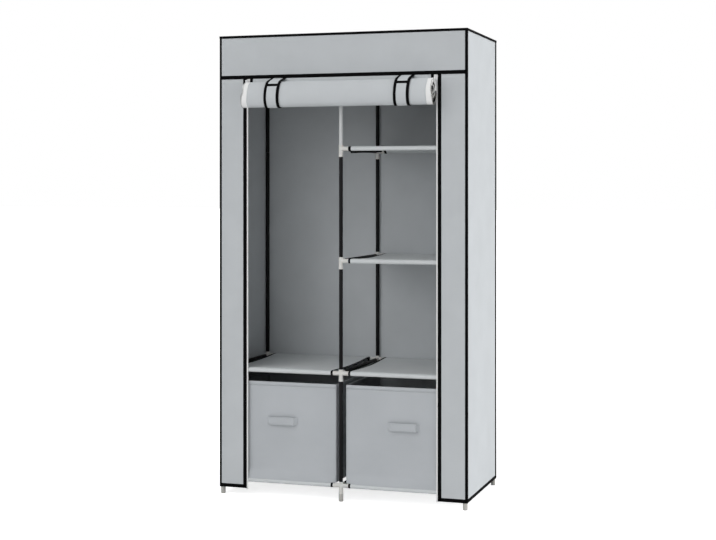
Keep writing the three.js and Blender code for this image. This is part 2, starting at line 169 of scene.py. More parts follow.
def nonwoven(name, dark, light, pitch=0.003):
    # Spunbond polypropylene: fibres pressed into a sheet and bonded at a grid of dots. It is matt and
    # faintly mottled, without threads. Real dots are 1 mm apart, drawn at about 3 mm so that they show.
    material, shader = blank(name, Roughness=0.88, Sheen_Weight=0.12, Sheen_Roughness=0.45)
    cloth = add_node(material, "TexCoord", {}).outputs["UV"]
    turned = add_node(material, "Mapping", {"Vector": cloth, "Rotation": (0, 0, pi / 4)})
    grid = {"Vector": turned, "Scale": 1 / pitch, "Randomness": 0.0}
    dots = add_node(material, "TexVoronoi", grid, voronoi_dimensions="2D")
    dimple = add_node(material, "MapRange", {"Value": dots, "From Min": 0.12, "From Max": 0.34})
    strands = {"Vector": cloth, "Scale": 900.0, "Detail": 3.0, "Distortion": 1.2}
    fibres = add_node(material, "TexNoise", strands)
    clouds = add_node(material, "TexNoise", {"Vector": cloth, "Scale": 9.0, "Detail": 4.0})
    mottle = add_node(material, "Math", {0: clouds, 1: 0.7}, operation="MULTIPLY")
    speckle = add_node(material, "Math", {0: fibres, 1: 0.3, 2: mottle}, operation="MULTIPLY_ADD")
    spread = add_node(material, "MapRange", {"Value": speckle, "From Min": 0.36, "From Max": 0.64})
    height = add_node(material, "Math", {0: fibres, 1: 0.35, 2: dimple}, operation="MULTIPLY_ADD")
    return finished(material, shader, spread, (dark, light), height, 0.35, 0.0002)


def woven_tape(name, dark, light, rib=0.0016, roughness=0.75, shine=0.3, fuzz=0.03):
    # Woven polyester tape: fine ribs across its length, a slight sheen on each rib. The ribs are drawn at
    # about twice their real spacing so that they show.
    surface = {"Specular_IOR_Level": shine, "Sheen_Weight": fuzz, "Sheen_Roughness": 0.4}
    material, shader = blank(name, Roughness=roughness, **surface)
    cloth = add_node(material, "TexCoord", {}).outputs["UV"]
    weft = {"Vector": cloth, "Scale": 0.314 / rib, "Distortion": 0.6, "Detail": 1.0}
    ribs = add_node(material, "TexWave", weft, bands_direction="Y")
    yarn = add_node(material, "TexNoise", {"Vector": cloth, "Scale": 1400.0, "Detail": 2.0})
    height = add_node(material, "Math", {0: yarn, 1: 0.5, 2: ribs}, operation="MULTIPLY_ADD")
    shade = add_node(material, "MapRange", {"Value": height, "From Min": 0.1, "From Max": 1.3})
    return finished(material, shader, shade, (dark, light), height, 0.4, 0.0003)


def coated_steel(name, dark, light, roughness=0.38):
    # Powder-coated steel tube: baked paint with a fine orange-peel surface and a soft, broad highlight.
    material, shader = blank(name, Specular_IOR_Level=0.12)
    place = add_node(material, "TexCoord", {}).outputs["Object"]
    peel = add_node(material, "TexNoise", {"Vector": place, "Scale": 700.0, "Detail": 2.0})
    handling = add_node(material, "TexNoise", {"Vector": place, "Scale": 28.0, "Detail": 5.0})
    wear = {"Value": handling, "From Min": 0.3, "From Max": 0.7}
    finest, dullest = roughness - 0.06, roughness + 0.1
    rough = add_node(material, "MapRange", {**wear, "To Min": finest, "To Max": dullest})
    return finished(material, shader, handling, (dark, light), peel, 0.25, 0.0001, Roughness=rough)


def moulded_plastic(name, dark, light, roughness=0.5):
    # Injection-moulded polypropylene: an even, slightly waxy colour with a fine grain from the mould.
    material, shader = blank(name, IOR=1.49, Subsurface_Weight=0.05, Subsurface_Scale=0.002)
    place = add_node(material, "TexCoord", {}).outputs["Object"]
    grain = add_node(material, "TexNoise", {"Vector": place, "Scale": 1100.0, "Detail": 2.0})
    flow = add_node(material, "TexNoise", {"Vector": place, "Scale": 45.0, "Detail": 3.0})
    marks = {"Value": flow, "From Min": 0.3, "From Max": 0.7}
    finest, dullest = roughness - 0.05, roughness + 0.08
    rough = add_node(material, "MapRange", {**marks, "To Min": finest, "To Max": dullest})
    return finished(material, shader, flow, (dark, light), grain, 0.2, 0.0001, Roughness=rough)


def die_cast(name, dark, light):
    # Painted zinc die-casting: a hard, pale paint, rubbed brighter in small spots.
    material, shader = blank(name, Metallic=0.2)
    place = add_node(material, "TexCoord", {}).outputs["Object"]
    rubs = add_node(material, "TexNoise", {"Vector": place, "Scale": 420.0, "Detail": 4.0})
    worn = add_node(material, "MapRange", {"Value": rubs, "From Min": 0.5, "From Max": 0.75})
    colour = add_node(material, "Mix", {0: worn, 6: srgb(dark), 7: srgb(light)}, data_type="RGBA")
    rough = add_node(material, "MapRange", {"Value": rubs, "To Min": 0.28, "To Max": 0.5})
    connect(material, shader, Base_Color=colour, Roughness=rough)
    return material


# Each finish with the record's slot that it belongs to
FINISH = {
    "black tube": (coated_steel("powder_coated_steel_black", "#070708", "#0e0e10", 0.46), "tube_black"),
    "light tube": (coated_steel("powder_coated_steel_light", "#c3c5c6", "#cfd1d2"), "tube_light"),
    "connector": (moulded_plastic("moulded_polypropylene_grey", "#c4c4c1", "#cfcfcc"), "connector_grey"),
    "foot": (moulded_plastic("moulded_polypropylene_foot", "#a6a5a1", "#b1b0ac"), "connector_grey"),
    "cover": (nonwoven("nonwoven_cover", "#b6babd", "#bbbfc2"), "cover_fabric"),
    # The door is the cover's own fabric, drawn a little lighter as painted light for the rolled door, which
    # faces up to the lamps.
    "door": (nonwoven("nonwoven_door", "#bcc0c3", "#c1c5c8"), "cover_fabric"),
    "shelf": (nonwoven("nonwoven_shelf", "#c2c6c8", "#c8cccd"), "shelf_fabric"),
    "box": (nonwoven("nonwoven_box", "#acb0b4", "#b2b6ba"), "box_fabric"),
    "shelf thread": (woven_tape("polyester_thread_light", "#aeb1b3", "#c4c7c9"), "shelf_fabric"),
    "box thread": (woven_tape("polyester_thread_grey", "#a2a6aa", "#b0b4b8"), "box_fabric"),
    "binding": (woven_tape("woven_tape_black", "#020203", "#070708", shine=0.04, fuzz=0), "binding_black"),
    "black thread": (
        woven_tape("polyester_thread_black", "#0a0a0b", "#151517", shine=0.1, fuzz=0),
        "binding_black",
    ),
    "zip tape": (woven_tape("zipper_tape_white", "#e2e3e3", "#efefef", rib=0.0012), "zipper_tape"),
    "zip teeth": (moulded_plastic("zipper_coil_nylon", "#dcdcdb", "#ebebea", 0.35), "zipper_tape"),
    # The rolled door's zip coil is the same white coil, painted dark grey as the shade between the roll's
    # turns at its ends.
    "door zip teeth": (moulded_plastic("zipper_coil_grey", "#62625f", "#82827e", 0.4), "zipper_tape"),
    "slider": (die_cast("painted_zinc_slider", "#c4c5c7", "#e2e3e4"), "zip_metal"),
}


# Modelling


def piece(name, bm, finish, nodes, body="wardrobe", thick=0.0, joins=None, flattens=None, outward=False):
    """Makes a finished piece of a bmesh. Given joins, the piece is baked where it stands instead of put on
    its body; given flattens, it gets a mesh of its own.
    """
    if outward:
        bmesh.ops.recalc_face_normals(bm, faces=bm.faces)
    mesh = bpy.data.meshes.new(name)
    bm.to_mesh(mesh)
    bm.free()
    mesh.shade_smooth()
    mesh.set_sharp_from_angle(angle=radians(35))
    material, slot = FINISH[finish]
    mesh.materials.append(material)
    made = bpy.data.objects.new(name, mesh)
    scene.collection.objects.link(made)
    if thick:
        wall = made.modifiers.new("wall", "SOLIDIFY")
        wall.thickness = thick
        wall.offset = 0
        wall.use_even_offset = False
    if joins:
        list(joins)
        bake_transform(made)
    else:
        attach(made, body)
    if flattens:
        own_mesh(made)
    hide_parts(*nodes)
    return made


def cloth(columns, rows, place, size):
    """A sheet of quads; place(s, t) gives the point a share s across and t along. UVs are in metres."""
    bm = bmesh.new()
    bmesh.ops.create_grid(bm, x_segments=columns, y_segments=rows, size=0.5)
    uv = bm.loops.layers.uv.verify()
    for face in bm.faces:
        for loop in face.loops:
            loop[uv].uv = ((loop.vert.co.x + 0.5) * size[0], (loop.vert.co.y + 0.5) * size[1])
    for vert in bm.verts:
        vert.co = place(vert.co.x + 0.5, vert.co.y + 0.5)
    return bm


def length_of(points):
    return sum((Vector(b) - Vector(a)).length for a, b in zip(points, points[1:]))


def swept(profile, rows, length, place):
    """A sheet with a column of points per point of the profile. place(point, t) puts it along the sweep."""
    last = len(profile) - 1
    return cloth(last, rows, lambda s, t: place(profile[round(s * last)], t), (length_of(profile), length))


def arc(middle, radius, start, end, steps):
    """Points of an arc, its angles in degrees."""
    turns = [radians(start + (end - start) * i / steps) for i in range(steps + 1)]
    return [(middle[0] + radius * cos(a), middle[1] + radius * sin(a)) for a in turns]


def even(points, count):
    """The same route with evenly spaced points."""
    points = [Vector(p) for p in points]
    marks = [0.0]
    for a, b in zip(points, points[1:]):
        marks.append(marks[-1] + (b - a).length)
    out = []
    for i in range(count + 1):
        target = marks[-1] * i / count
        j = min(max(bisect_right(marks, target), 1), len(points) - 1)
        out.append(points[j - 1].lerp(points[j], (target - marks[j - 1]) / (marks[j] - marks[j - 1])))
    return out


def turned_to(start, end):
    """The middle of a line and the turn that lays Z along it, as one matrix."""
    start, end = Vector(start), Vector(end)
    turn = (end - start).to_track_quat("Z", "Y").to_matrix().to_4x4()
    return Matrix.Translation((start + end) / 2) @ turn


def round_edges(bm, edges, size):
    bmesh.ops.bevel(bm, geom=edges, offset=size, segments=2, profile=0.5, affect="EDGES", material=-1)


def add_rod(bm, start, end, radius, end_radius=None, edge=0.0006, segments=28):
    length = (Vector(end) - Vector(start)).length
    shape = {"segments": segments, "radius1": radius, "radius2": end_radius or radius, "depth": length}
    made = bmesh.ops.create_cone(bm, cap_ends=True, matrix=turned_to(start, end), **shape)
    if edge:
        edges = {e for v in made["verts"] for e in v.link_edges}
        round_edges(bm, [e for e in edges if any(len(f.verts) > 4 for f in e.link_faces)], edge)


def add_block(bm, low, high, edge=0.0):
    low, high = Vector(low), Vector(high)
    scale = Matrix.Diagonal((*(high - low), 1))
    made = bmesh.ops.create_cube(bm, size=1, matrix=Matrix.Translation((low + high) / 2) @ scale)
    if edge:
        round_edges(bm, list({e for v in made["verts"] for e in v.link_edges}), edge)


def add_small_blocks(bm, places):
    """Many small blocks, one per matrix, made in short runs, because a large mesh slows every operator."""
    run_length = 40
    for first in range(0, len(places), run_length):
        run = bmesh.new()
        for matrix in places[first : first + run_length]:
            bmesh.ops.create_cube(run, size=1, matrix=matrix)
        mesh = bpy.data.meshes.new("run")
        run.to_mesh(mesh)
        run.free()
        bm.from_mesh(mesh)
        bpy.data.meshes.remove(mesh)


def block_between(a, b, out, width, height, length):
    """The matrix of a block that lies along a line, its height towards out."""
    along = (b - a).normalized()
    across = along.cross(out).normalized()
    turn = Matrix((across, across.cross(along) * -1, along)).transposed().to_4x4()
    return Matrix.Translation((a + b) / 2) @ turn @ Matrix.Diagonal((width, height, length, 1))


def add_stitches(bm, points, pitch=0.005, length=0.0032, width=0.0006, facing=(0, -1, 0)):
    """Single stitches along a route, each a small block that stands on the cloth."""
    route = even(points, max(int(length_of(points) / pitch), 1))
    out = Vector(facing).normalized()
    gaps = zip(route, route[1:])
    add_small_blocks(bm, [block_between(a, b, out, width, width, length) for a, b in gaps])


def rough_noise(*place):
    return noise.noise(Vector(place))


def clamped(share):
    return min(max(share, 0), 1)


def smooth(share):
    return share * share * (3 - 2 * share)


# Frame


def tube(name, start, end, node, finish="black tube"):
    bm = bmesh.new()
    add_rod(bm, start, end, TUBE)
    piece(name, bm, finish, [node], outward=True)


def moulded(name, rods, nodes, voxel=0.0009):
    """Rods that are fused into one moulding, with small fillets where they meet."""
    bm = bmesh.new()
    for start, end, radius in rods:
        add_rod(bm, start, end, radius, edge=0)
    made = piece(name, bm, "connector", nodes, outward=True)
    fuse = made.modifiers.new("fuse", "REMESH")
    fuse.mode = "VOXEL"
    fuse.voxel_size = voxel
    fuse.use_smooth_shade = True
    soften = made.modifiers.new("soften", "SMOOTH")
    soften.factor = 0.5
    soften.iterations = 4


CONNECTOR = 0.0074
CONNECTOR_CAP = 0.0078
RIM = 0.0082
RIM_WIDTH = 0.005
FOOT_FLOOR = 0.0078
FOOT_MOUTH = 0.0082


def connector_rods(x, y, level, arms):
    """A sleeve on the post and an arm for each tube, each with a thicker rim at its mouth."""
    z = LEVEL[level]
    low = z - SLEEVE_DOWN
    high = z + (CONNECTOR_CAP if level == "top" else SLEEVE_UP)
    rods = [((x, y, low), (x, y, high), CONNECTOR), ((x, y, low), (x, y, low + RIM_WIDTH), RIM)]
    if level != "top":
        rods.append(((x, y, high - RIM_WIDTH), (x, y, high), RIM))
    for dx, dy in arms:
        end = (x + dx * ARM_REACH, y + dy * ARM_REACH, z)
        mouth = (x + dx * (ARM_REACH - RIM_WIDTH), y + dy * (ARM_REACH - RIM_WIDTH), z)
        rods += [((x, y, z), end, CONNECTOR), (mouth, end, RIM)]
    return rods


POSTS = {
    "left": (-POST, ("bottom", "lower", "top")),
    "middle": (0.0, LEVEL_NAMES),
    "right": (POST, LEVEL_NAMES),
}
SPLIT_RAILS = (("left", "lower"), ("right", "lower"), ("right", "mid"), ("right", "upper"))
POST_BUTT = 0.0002
POST_FROM_BELOW = 0.004
POST_TO_ABOVE = 0.018


def arms_of(side, level, inward):
    """Which ways a connector's arms point: to its depth tube, and to the rails of its level."""
    if side != "middle":
        return [(-SIDES[side], 0), (0, inward)]
    bays = [bay for bay in SIDES if level in ("bottom", "top") or (bay, level) in SPLIT_RAILS]
    return [(SIDES[bay], 0) for bay in bays] + [(0, inward)]


def frame_node(side, row, level):
    return f"{row}_middle_connector_{level}" if side == "middle" else f"{side}_side_frame"


def post_node(side, row, level):
    if side != "middle":
        return f"{side}_side_frame"
    if row == "rear":
        return "rear_middle_post"
    return "front_middle_post_upper" if level == "upper" else "front_middle_post"


for side, (x, levels) in POSTS.items():
    for row, (y, inward) in ROWS.items():
        for level in levels:
            node = frame_node(side, row, level)
            rods = connector_rods(x, y, level, arms_of(side, level, inward))
            moulded(f"{side}_{row}_connector_{level}", rods, [node])
        # the left posts have a plain butt joint where the right ones have a connector
        names = [name for name in LEVEL_NAMES if name in levels or (side, name) == ("left", "upper")]
        for name, above in zip(names, names[1:]):
            start = LEVEL[name] + (POST_FROM_BELOW if name in levels else POST_BUTT)
            end = LEVEL[above] - (POST_TO_ABOVE if above in levels else POST_BUTT)
            light = (side, row, name) == ("middle", "front", "upper")
            finish = "light tube" if light else "black tube"
            node = post_node(side, row, name)
            tube(f"{side}_{row}_post_{name}", (x, y, start), (x, y, end), node, finish)
        foot = bmesh.new()
        mouth = (x, y, LEVEL["bottom"] - SLEEVE_DOWN + 0.001)
        add_rod(foot, (x, y, 0), mouth, FOOT_FLOOR, FOOT_MOUTH, edge=0.0012)
        piece(f"{side}_{row}_foot", foot, "foot", [frame_node(side, row, "bottom")], outward=True)
    for level in levels:
        z = LEVEL[level]
        node = f"middle_depth_tube_{level}" if side == "middle" else f"{side}_side_frame"
        start, end = (x, POST_FRONT + TUBE_FROM_POST, z), (x, POST_REAR - TUBE_FROM_POST, z)
        tube(f"{side}_depth_{level}", start, end, node)

for row, (y, _) in ROWS.items():
    for bay, sign in SIDES.items():
        for level in LEVEL_NAMES:
            through = level in ("bottom", "top")
            if not through and (bay, level) not in SPLIT_RAILS:
                continue
            node = f"{level}_rail_{row}" if through else f"{level}_rail_{bay}_{row}"
            z = LEVEL[level]
            start, end = (sign * TUBE_FROM_POST, y, z), (sign * (POST - TUBE_FROM_POST), y, z)
            tube(f"{level}_rail_{bay}_{row}_tube", start, end, node)

# Hanging rail and the clips that hold it under the top depth tubes
CLIP_BAND = 0.0082
CLIP_BAND_HALF = 0.008
CLIP_EYE = 0.0092
CLIP_EYE_HALF = 0.006
CLIP_NECK = 0.0058
RAIL_UP = 0.010
rail_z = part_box("hanging_rail")[0].z + RAIL_UP
rail_ends = (-POST - CLIP_EYE_HALF, MIDDLE, rail_z), (CLIP_EYE_HALF, MIDDLE, rail_z)
tube("hanging_rail_tube", *rail_ends, "hanging_rail")
for side, x in (("left", -POST), ("middle", 0.0)):
    top = LEVEL["top"]
    rods = [
        ((x, MIDDLE - CLIP_BAND_HALF, top), (x, MIDDLE + CLIP_BAND_HALF, top), CLIP_BAND),
        ((x - CLIP_EYE_HALF, MIDDLE, rail_z), (x + CLIP_EYE_HALF, MIDDLE, rail_z), CLIP_EYE),
        ((x, MIDDLE, rail_z), (x, MIDDLE, top), CLIP_NECK),
    ]
    moulded(f"hanging_rail_clip_{side}", rods, ["hanging_rail"])


# Shelves

SLEEVE = 0.0071
SLEEVE_CLOTH = 0.0009
SEAM_BEHIND_RAIL = 0.020
SHELF_SAG = {"bottom": 0.0025}
USUAL_SAG = 0.005
RING_WIDTH = 0.007
LOOSE_RING_WIDTH = 0.009
RING_TAPE = 0.0014
SHELF_GAP = 0.028
LOOSE_END = {"upper": 0.006}
LOOSE_LENGTH = 0.040
SHELF_WAVE = 0.0009
SHELF_PUCKER = 0.00025


def sheet_height(level, radius, y):
    """How high a shelf's sheet lies between its rails, with its sag."""
    inner = POST_FRONT + SEAM_BEHIND_RAIL
    share = clamped((y - inner) / (POST_REAR - SEAM_BEHIND_RAIL - inner))
    return LEVEL[level] + radius - SHELF_SAG.get(level, USUAL_SAG) * 4 * share * (1 - share)


def shelf_profile(level, radius):
    """The shelf's route in YZ: from the seam under it round the front rail, across, and round the rear."""
    z = LEVEL[level]
    seam = (SEAM_BEHIND_RAIL, radius - 0.0013)
    reach = hypot(*seam)
    touch = degrees(atan2(seam[1], seam[0]) - acos(radius / reach))
    around = [seam] + arc((0, 0), radius, touch, -270, 20)
    front = [(POST_FRONT + a, z + b) for a, b in around]
    rear = [(POST_REAR - a, z + b) for a, b in reversed(around)]
    start, end = front[-1][0], rear[0][0]
    steps = 40
    across = [start + (end - start) * i / steps for i in range(1, steps)]
    return front + [(y, sheet_height(level, radius, y)) for y in across] + rear


def between_rails(y, start, rise):
    """From 0 near the rails to 1 in the middle: it starts so far from each rail and rises over a length."""
    return clamped((y - POST_FRONT - start) / rise) * clamped((POST_REAR - start - y) / rise)


def hanging_edge(node, level, x, droop):
    """The bound end of a sheet that was left loose: it hangs beside the depth tube, lowest at the front."""
    start, end = POST_FRONT + 0.011, POST_REAR - 0.022
    hangs, rises, width = 0.0155, 0.0315, 0.0125

    def place(s, t):
        y = start + (end - start) * s
        top = sheet_height(level, SLEEVE, y) - droop(x, y)
        bottom = min(LEVEL[level] - hangs + rises * (y - POST_FRONT), top - 0.004)
        rounded = (min(s / 0.02, 1) * min((1 - s) / 0.06, 1)) ** 0.5
        return Vector((x + 0.001 * sin(9 * s + 2 * t), y, top + (bottom - top) * rounded * t))

    bm = cloth(70, 5, place, (end - start, width))
    return piece(f"{node}_loose_binding", bm, "binding", [node], thick=RING_TAPE)


def shelf(level, bay):
    sign = SIDES[bay]
    node = f"shelf_{level}_{bay}"
    x0, x1 = sign * SHELF_GAP, sign * (POST - SHELF_GAP)
    profile = shelf_profile(level, SLEEVE)
    middle = LEVEL[level] + SLEEVE

    def droop(x, y):
        """How far the sheet hangs down near an inner end that was left loose, most at the front."""
        from_end = max(1 - abs(x - x0) / LOOSE_LENGTH, 0) * (POST_REAR - y) / (POST_REAR - POST_FRONT)
        return LOOSE_END.get(level, 0.0) * smooth(from_end) * between_rails(y, 0.02, 0.05)

    def place(point, t):
        y, z = point
        x = x0 + (x1 - x0) * t
        wave = between_rails(y, 0.03, 0.08) * (rough_noise(x * 9, y * 11, sign + middle) - 0.4)
        near = exp(-abs(abs(y - MIDDLE) - (POST_REAR - MIDDLE)) / 0.02)
        pucker = near * rough_noise(x * 70, y * 30, middle)
        return Vector((x, y, z + SHELF_WAVE * wave + SHELF_PUCKER * pucker - droop(x, y)))

    sheet = swept(profile, 60, abs(x1 - x0), place)
    made = piece(f"{node}_fabric", sheet, "shelf", [node], thick=SLEEVE_CLOTH)
    for end, start, inwards in (("inner", x0, 1), ("outer", x1, -1)):
        width = LOOSE_RING_WIDTH if level in LOOSE_END and end == "inner" else RING_WIDTH

        def ring_place(point, t):
            x = start + sign * inwards * width * t
            return Vector((x, point[0], point[1] - droop(x, point[0])))

        ring = swept(shelf_profile(level, SLEEVE + 0.0001), 4, width, ring_place)
        piece(f"{node}_{end}_binding", ring, "binding", [node], thick=RING_TAPE)
    if level in LOOSE_END:
        hanging_edge(node, level, x0, droop)
    seams = bmesh.new()
    for y in (POST_FRONT + SEAM_BEHIND_RAIL - 0.002, POST_REAR - SEAM_BEHIND_RAIL + 0.002):
        z = middle + CLOTH / 2
        row = [(x0 + sign * 0.008, y, z), (x1 - sign * 0.008, y, z)]
        add_stitches(seams, row, facing=(0, 0, 1))
    piece(f"{node}_stitching", seams, "shelf thread", [node])
    flat = (abs(x1 - x0), length_of(profile))


for bay in SIDES:
    shelf("bottom", bay)
for bay, level in SPLIT_RAILS:
    shelf(level, bay)


# Cover

TAPE_COVERS = 0.010
PANEL_BULGE = 0.0012
PANEL_RIPPLE = 0.0004
PANEL_PUCKER = 0.0003


def slack(s, t, width, length, seed, covers):
    """How far a taut panel stands out: broad soft waves, and short puckers close to its sewn edges."""
    x, y = s * width, t * length
    edge = min(x, width - x, y, length - y)
    broad = 0.5 + 0.5 * rough_noise(x * 3.1 + seed, y * 2.3, seed)
    ripple = 0.5 + 0.5 * rough_noise(x * 12, y * 4 + seed, seed)
    pucker = 0.5 + 0.5 * rough_noise(x * 55 + seed, y * 55, seed)
    inside = max(edge - covers, 0)
    rise = min(inside / 0.12, 1)
    crimp = min(inside / 0.004, 1) * exp(-inside / 0.02)
    soft = PANEL_BULGE * rise * broad + PANEL_RIPPLE * min(inside / 0.03, 1) * ripple
    return soft + PANEL_PUCKER * crimp * pucker


def panel(name, corner, across, up, out, node, cells, seed, joins=None, covers=TAPE_COVERS):
    """A flat panel of the cover, sewn along its edges."""
    corner, across, up, out = map(Vector, (corner, across, up, out))
    width, length = across.length, up.length

    def place(s, t):
        return corner + across * s + up * t + out * slack(s, t, width, length, seed, covers)

    return piece(name, cloth(*cells, place, (width, length)), "cover", [node], thick=CLOTH, joins=joins)


INSET = 0.0016
FRONT_SHEET = FRONT + SHEET_IN
header_low = HEADER_BOTTOM + 0.001
wall_low = HEM + 0.001
wall_height = TOP - INSET - wall_low
span = 2 * (SIDE - INSET)
depth = DEPTH - 2 * INSET
left_edge, front_edge = -SIDE + INSET, FRONT + INSET
header_height = TOP - INSET - header_low
across, up, header_up = (span, 0, 0), (0, 0, wall_height), (0, 0, header_height)

# Each panel's corner, the ways along its two edges and out of it, its cells and its seed for the slack
flat_panels = {
    "header": ((left_edge, FRONT_SHEET, header_low), across, header_up, (0, -1, 0), (110, 22), 1.7),
    "back": ((left_edge, REAR - SHEET_IN, wall_low), across, up, (0, 1, 0), (70, 110), 5.3),
    "roof": ((left_edge, front_edge, TOP - SHEET_IN), across, (0, depth, 0), (0, 0, 1), (80, 44), 9.1),
}
cover_panels = {
    name: panel(f"{name}_panel", corner, wide, high, out, f"cover_{name}", cells, seed)
    for name, (corner, wide, high, out, cells, seed) in flat_panels.items()
}
for bay, sign in SIDES.items():
    corner, node = (sign * (SIDE - SHEET_IN), front_edge, wall_low), f"cover_{bay}_side"
    ways = (0, depth, 0), up, (sign, 0, 0)
    cover_panels[bay] = panel(
        f"{bay}_side_panel", corner, *ways, node, (44, 110), 13.0 + sign, covers=REAR_CORNER_SIDE
    )


def corner_profile(width_a, width_b, round_off=0.0022):
    """Tape folded round a right-angled edge: how far a point lies along one face, then along the other."""
    bend = arc((round_off, round_off), round_off - TAPE_IN, 270, 180, 6)
    first = [(width_a, TAPE_IN), (width_a * 0.6, TAPE_IN)]
    return [*first, *bend, (TAPE_IN, width_b * 0.6), (TAPE_IN, width_b)]


def piped_profile(width):
    """Tape over the raised seam of a top edge, given as corner_profile is. Less than zero stands proud."""
    ridge = arc((0.0012, -PIPING_RISE), 0.0015, 0, -180, 8)
    return [(width, TAPE_IN), (0.0034, TAPE_IN), *ridge, (TAPE_IN / 2, 0.0018), (TAPE_IN, width)]


def fold_profile(width):
    """Tape folded over a free edge: its distance from the edge, and its depth behind the face."""
    bend = arc((0.0009, 0.0011), 0.0007, 270, 90, 6)
    return [(width, TAPE_IN), (width / 2, TAPE_IN), *bend, (width / 2, 0.0017), (width, 0.0017)]


def binding(name, profile, start, end, first, second, rows, node="cover_binding", joins=None):
    """A tape along a straight edge; first and second are the ways that the profile's two numbers run."""
    start, end, first, second = map(Vector, (start, end, first, second))

    def place(point, t):
        at = start.lerp(end, t)
        wander = TAPE_WANDER * rough_noise(t * 40 * (end - start).length, start.x * 7, start.z * 3)
        return at + first * (point[0] + (wander if point[0] > 0.003 else 0)) + second * point[1]

    bm = swept(profile, rows, (end - start).length, place)
    return piece(name, bm, "binding", [node], thick=TAPE, joins=joins)


corners = {
    "front": corner_profile(CORNER_FRONT, CORNER_SIDE),
    "rear": corner_profile(CORNER_FRONT, REAR_CORNER_SIDE),
}
top_fold = piped_profile(TOP_TAPE)
hem_fold = fold_profile(HEM_TAPE)
for bay, sign in SIDES.items():
    inward = (-sign, 0, 0)
    edge_x = sign * SIDE
    for row, y, way in (("front", FRONT, 1), ("rear", REAR, -1)):
        ends = (edge_x, y, HEM), (edge_x, y, TOP)
        binding(f"{bay}_{row}_corner_binding", corners[row], *ends, inward, (0, way, 0), 90)
    ends = (edge_x, FRONT, TOP), (edge_x, REAR, TOP)
    binding(f"{bay}_top_binding", top_fold, *ends, inward, (0, 0, -1), 40)
    ends = (edge_x, FRONT + INSET, HEM), (edge_x, REAR - INSET, HEM)
    binding(f"{bay}_hem_binding", hem_fold, *ends, (0, 0, 1), inward, 40)
for row, y, way in (("front", FRONT, 1), ("rear", REAR, -1)):
    ends = (-SIDE, y, TOP), (SIDE, y, TOP)
    binding(f"{row}_top_binding", top_fold, *ends, (0, way, 0), (0, 0, -1), 60)
for name, y, z, way in (("back", REAR, HEM, -1), ("header", FRONT, HEADER_BOTTOM, 1)):
    ends = (-SIDE + INSET, y, z), (SIDE - INSET, y, z)
    binding(f"{name}_hem_binding", hem_fold, *ends, (0, 0, 1), (0, way, 0), 60)

seam = bmesh.new()
row_in = TOP_TAPE - STITCH_IN
hem_row = HEM + HEM_TAPE - HEM_STITCH_IN
for sign in SIDES.values():
    for y, out in ((FRONT, -1), (REAR, 1)):
        x = sign * (SIDE - CORNER_FRONT + STITCH_IN)
        add_stitches(seam, [(x, y, HEM + 0.004), (x, y, TOP - 0.004)], facing=(0, out, 0))
        side_y = y - out * ((REAR_CORNER_SIDE if out > 0 else CORNER_SIDE) - STITCH_IN)
        rows_z = [(sign * SIDE, side_y, HEM + 0.004), (sign * SIDE, side_y, TOP - 0.004)]
        add_stitches(seam, rows_z, facing=(sign, 0, 0))
        if sign > 0:
            for line_y, z, face in ((y - out * row_in, TOP, (0, 0, 1)), (y, TOP - row_in, (0, out, 0))):
                add_stitches(seam, [(-SIDE + 0.006, line_y, z), (SIDE - 0.006, line_y, z)], facing=face)
    for x, z, face in ((SIDE - row_in, TOP, (0, 0, 1)), (SIDE, TOP - row_in, (sign, 0, 0))):
        add_stitches(seam, [(sign * x, FRONT + 0.006, z), (sign * x, REAR - 0.006, z)], facing=face)
    ends = (sign * SIDE, FRONT + 0.009, hem_row), (sign * SIDE, REAR - 0.009, hem_row)
    add_stitches(seam, ends, facing=(sign, 0, 0))
add_stitches(seam, [(-SIDE + 0.008, REAR, hem_row), (SIDE - 0.008, REAR, hem_row)], facing=(0, 1, 0))
for z in (HEADER_BOTTOM + HEM_TAPE - HEM_STITCH_IN, HEADER_BOTTOM + 0.0016):
    add_stitches(seam, [(-SIDE + 0.008, FRONT, z), (SIDE - 0.008, FRONT, z)])
cover_stitching = piece("cover_stitching", seam, "black thread", ["cover_binding"])


# Front strips beside the door, which on the wardrobe fold back when a box is drawn out; here they are made
# lying flat

STRIP_IN = OPENING + ZIP_TAPE
STRIP_ROWS = 110
STRIP_FLAT_ABOVE = 1.30
STRIP_SWINGS_BELOW = 0.50
ZIP_TAPE_WIDTH = 0.0080
ZIP_TAIL = 0.002
SLIDER_COVERS = 0.024


def add_teeth(bm, route, size=(0.0022, 0.0013, 0.0013), pitch=0.0030):
    """Zip teeth along a route, each a small block that lies across it."""
    points = even(route, max(int(length_of(route) / pitch), 1))
    teeth = []
    for a, b in zip(points, points[1:]):
        out = (b - a).cross(Vector((1, 0, 0))).normalized()
        teeth.append(block_between(a, b, out, *size))
    add_small_blocks(bm, teeth)


def strip_stitching(sign, hem_end):
    """Rows along both edges of the strip's band, and one along its hem."""
    seam = bmesh.new()
    for inwards, low in ((HEM_TAPE - HEM_STITCH_IN, HEM_TAPE), (0.0018, 0.003)):
        x = sign * (STRIP_IN + inwards)
        add_stitches(seam, [(x, FRONT, HEM + low), (x, FRONT, DOOR_TOP)])
    add_stitches(seam, [(sign * (STRIP_IN + 0.004), FRONT, hem_row), (hem_end, FRONT, hem_row)])
    return seam


